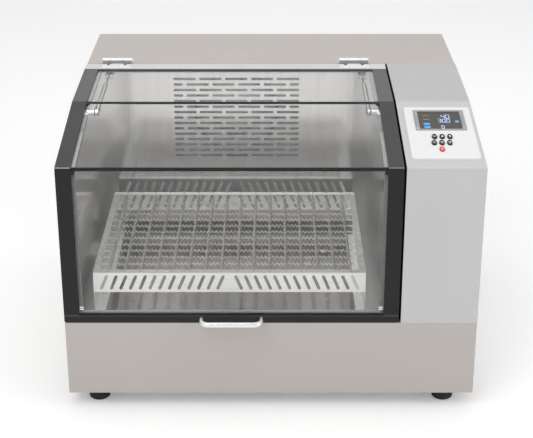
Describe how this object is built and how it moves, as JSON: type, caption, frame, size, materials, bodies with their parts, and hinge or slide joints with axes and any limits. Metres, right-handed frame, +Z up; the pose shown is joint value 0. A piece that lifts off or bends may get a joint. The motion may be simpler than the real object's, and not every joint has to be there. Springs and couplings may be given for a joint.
{
  "type": "incubated benchtop shaker",
  "caption": "Benchtop incubated shaker: heated chamber under a bent glass lid on two hinges, orbiting platform with a spring rack, and a control column on the right.",
  "frame": {"origin": "middle of the overall outline in plan, on the bench surface under the feet", "axes": "+Z up, +X to the operator's right, +Y from the front to the rear"},
  "size_m": [0.7, 0.678, 0.4985],
  "materials": {
    "cabinet_paint": "satin",
    "column_paint": "satin",
    "steel_sheet": "satin",
    "polished_steel": "polished",
    "machined_steel": "satin",
    "chrome": "polished",
    "dark_aluminium": "satin",
    "pale_aluminium": "satin",
    "platform_aluminium": "satin",
    "glass": "gloss",
    "black_rubber": "matte",
    "black_plastic": "satin",
    "white_plastic": "satin",
    "grey_plastic": "satin",
    "display": "gloss",
    "red_plastic": "satin",
    "circuit_board": "satin",
    "insulation": "matte",
    "cast_housing": "matte",
    "heater_sheath": "matte",
    "supply_case": "satin"
  },
  "bodies": {
    "cabinet": {"base_shell": "cabinet_paint", "bottom_pan": "steel_sheet", "feet": "black_rubber", "cabinet_shell": "cabinet_paint", "rear_panel": "cabinet_paint", "control_column": "column_paint", "chamber_liner": "polished_steel", "duct_cover": "polished_steel", "insulation_panels": "insulation", "lid_gasket": "black_rubber", "hinge_leaves_cabinet": "polished_steel", "strut_anchors": "polished_steel", "control_bezel": "white_plastic", "display_frame": "grey_plastic", "display_window": "display", "control_board": "circuit_board", "power_supply": "supply_case", "drive_frame": "steel_sheet", "drive_motor": "cast_housing", "drive_belt": "black_rubber", "bearing_units": "machined_steel", "plenum_box": "steel_sheet", "blower_motor": "cast_housing", "heater_element": "heater_sheath", "temperature_probe": "polished_steel", "power_inlet": "black_plastic", "cabinet_screws": "polished_steel"},
    "lid": {"lid_side_rails": "dark_aluminium", "lid_cross_bars": "dark_aluminium", "lid_rear_rail": "pale_aluminium", "glass_front": "glass", "glass_slope": "glass", "glass_top": "glass", "glazing_seals": "black_rubber", "lid_handle": "chrome", "hinge_leaves_lid": "polished_steel", "strut_brackets": "polished_steel"},
    "strut_foot_left": {"strut_rod_left": "chrome"},
    "strut_foot_right": {"strut_rod_right": "chrome"},
    "strut_head_left": {"strut_tube_left": "chrome"},
    "strut_head_right": {"strut_tube_right": "chrome"},
    "spindle": {"drive_spindle": "machined_steel"},
    "motor_shaft": {"motor_pulley": "machined_steel"},
    "idler_1": {"idler_crank_1": "machined_steel"},
    "idler_2": {"idler_crank_2": "machined_steel"},
    "idler_3": {"idler_crank_3": "machined_steel"},
    "idler_4": {"idler_crank_4": "machined_steel"},
    "platform": {"platform_plate": "platform_aluminium", "platform_bearings": "machined_steel", "rack_panels": "polished_steel", "rack_springs": "polished_steel"},
    "blower": {"blower_wheel": "platform_aluminium"},
    "rocker": {"power_rocker": "red_plastic"},
    "key_back_left": {"key_back_left": "black_plastic"},
    "key_back_middle": {"key_back_middle": "black_plastic"},
    "key_back_right": {"key_back_right": "black_plastic"},
    "key_front_left": {"key_front_left": "black_plastic"},
    "key_front_middle": {"key_front_middle": "black_plastic"},
    "key_front_right": {"key_front_right": "black_plastic"},
    "key_start": {"key_start": "red_plastic"}
  },
  "joints": [
    {"name": "lid_hinge", "type": "hinge", "parent": "cabinet", "child": "lid", "pos_m": [-0.067, 0.129, 0.493], "axis": [-1, 0, 0], "range_deg": [0, 70]},
    {"name": "strut_pivot_left", "type": "hinge", "parent": "cabinet", "child": "strut_foot_left", "pos_m": [-0.306, 0.113, 0.465], "axis": [-1, 0, 0], "range_deg": [0, 71]},
    {"name": "strut_stroke_left", "type": "slide", "parent": "strut_foot_left", "child": "strut_head_left", "axis": [0, -0.9998, -0.0173], "range_m": [0, 0.0376]},
    {"name": "strut_pivot_right", "type": "hinge", "parent": "cabinet", "child": "strut_foot_right", "pos_m": [0.172, 0.113, 0.465], "axis": [-1, 0, 0], "range_deg": [0, 71]},
    {"name": "strut_stroke_right", "type": "slide", "parent": "strut_foot_right", "child": "strut_head_right", "axis": [0, -0.9998, -0.0173], "range_m": [0, 0.0376]},
    {"name": "drive_spin", "type": "hinge", "parent": "cabinet", "child": "spindle", "pos_m": [-0.0705, -0.0832, 0.128], "axis": [0, 0, 1], "continuous": true},
    {"name": "platform_counter", "type": "hinge", "parent": "spindle", "child": "platform", "pos_m": [-0.0705, -0.0932, 0.143], "axis": [0, 0, 1], "continuous": true},
    {"name": "motor_spin", "type": "hinge", "parent": "cabinet", "child": "motor_shaft", "pos_m": [-0.0705, 0.194, 0.088], "axis": [0, 0, 1], "continuous": true},
    {"name": "idler_spin_1", "type": "hinge", "parent": "cabinet", "child": "idler_1", "pos_m": [-0.241, -0.1862, 0.128], "axis": [0, 0, 1], "continuous": true},
    {"name": "idler_spin_2", "type": "hinge", "parent": "cabinet", "child": "idler_2", "pos_m": [0.1, -0.1862, 0.128], "axis": [0, 0, 1], "continuous": true},
    {"name": "idler_spin_3", "type": "hinge", "parent": "cabinet", "child": "idler_3", "pos_m": [-0.241, 0.0198, 0.128], "axis": [0, 0, 1], "continuous": true},
    {"name": "idler_spin_4", "type": "hinge", "parent": "cabinet", "child": "idler_4", "pos_m": [0.1, 0.0198, 0.128], "axis": [0, 0, 1], "continuous": true},
    {"name": "blower_spin", "type": "hinge", "parent": "cabinet", "child": "blower", "pos_m": [-0.067, 0.149, 0.383], "axis": [0, 1, 0], "continuous": true},
    {"name": "power_switch", "type": "hinge", "parent": "cabinet", "child": "rocker", "pos_m": [0.255, 0.334, 0.102], "axis": [-1, 0, 0], "range_deg": [0, 14]},
    {"name": "press_back_left", "type": "slide", "parent": "cabinet", "child": "key_back_left", "axis": [0, 0.1485, -0.9889], "range_m": [0, 0.0008], "stiffness_N_per_m": 600},
    {"name": "press_back_middle", "type": "slide", "parent": "cabinet", "child": "key_back_middle", "axis": [0, 0.1485, -0.9889], "range_m": [0, 0.0008], "stiffness_N_per_m": 600},
    {"name": "press_back_right", "type": "slide", "parent": "cabinet", "child": "key_back_right", "axis": [0, 0.1485, -0.9889], "range_m": [0, 0.0008], "stiffness_N_per_m": 600},
    {"name": "press_front_left", "type": "slide", "parent": "cabinet", "child": "key_front_left", "axis": [0, 0.1485, -0.9889], "range_m": [0, 0.0008], "stiffness_N_per_m": 600},
    {"name": "press_front_middle", "type": "slide", "parent": "cabinet", "child": "key_front_middle", "axis": [0, 0.1485, -0.9889], "range_m": [0, 0.0008], "stiffness_N_per_m": 600},
    {"name": "press_front_right", "type": "slide", "parent": "cabinet", "child": "key_front_right", "axis": [0, 0.1485, -0.9889], "range_m": [0, 0.0008], "stiffness_N_per_m": 600},
    {"name": "press_start", "type": "slide", "parent": "cabinet", "child": "key_start", "axis": [0, 0.1485, -0.9889], "range_m": [0, 0.0008], "stiffness_N_per_m": 600}
  ],
  "couplings": [
    {"joint": "strut_pivot_left", "follows": "lid_hinge", "ratio": 1.0044},
    {"joint": "strut_stroke_left", "follows": "lid_hinge", "m_per_rad": 0.030332},
    {"joint": "strut_pivot_right", "follows": "lid_hinge", "ratio": 1.0044},
    {"joint": "strut_stroke_right", "follows": "lid_hinge", "m_per_rad": 0.030332},
    {"joint": "platform_counter", "follows": "drive_spin", "ratio": -1},
    {"joint": "motor_spin", "follows": "drive_spin", "ratio": 3},
    {"joint": "idler_spin_1", "follows": "drive_spin", "ratio": 1},
    {"joint": "idler_spin_2", "follows": "drive_spin", "ratio": 1},
    {"joint": "idler_spin_3", "follows": "drive_spin", "ratio": 1},
    {"joint": "idler_spin_4", "follows": "drive_spin", "ratio": 1}
  ]
}
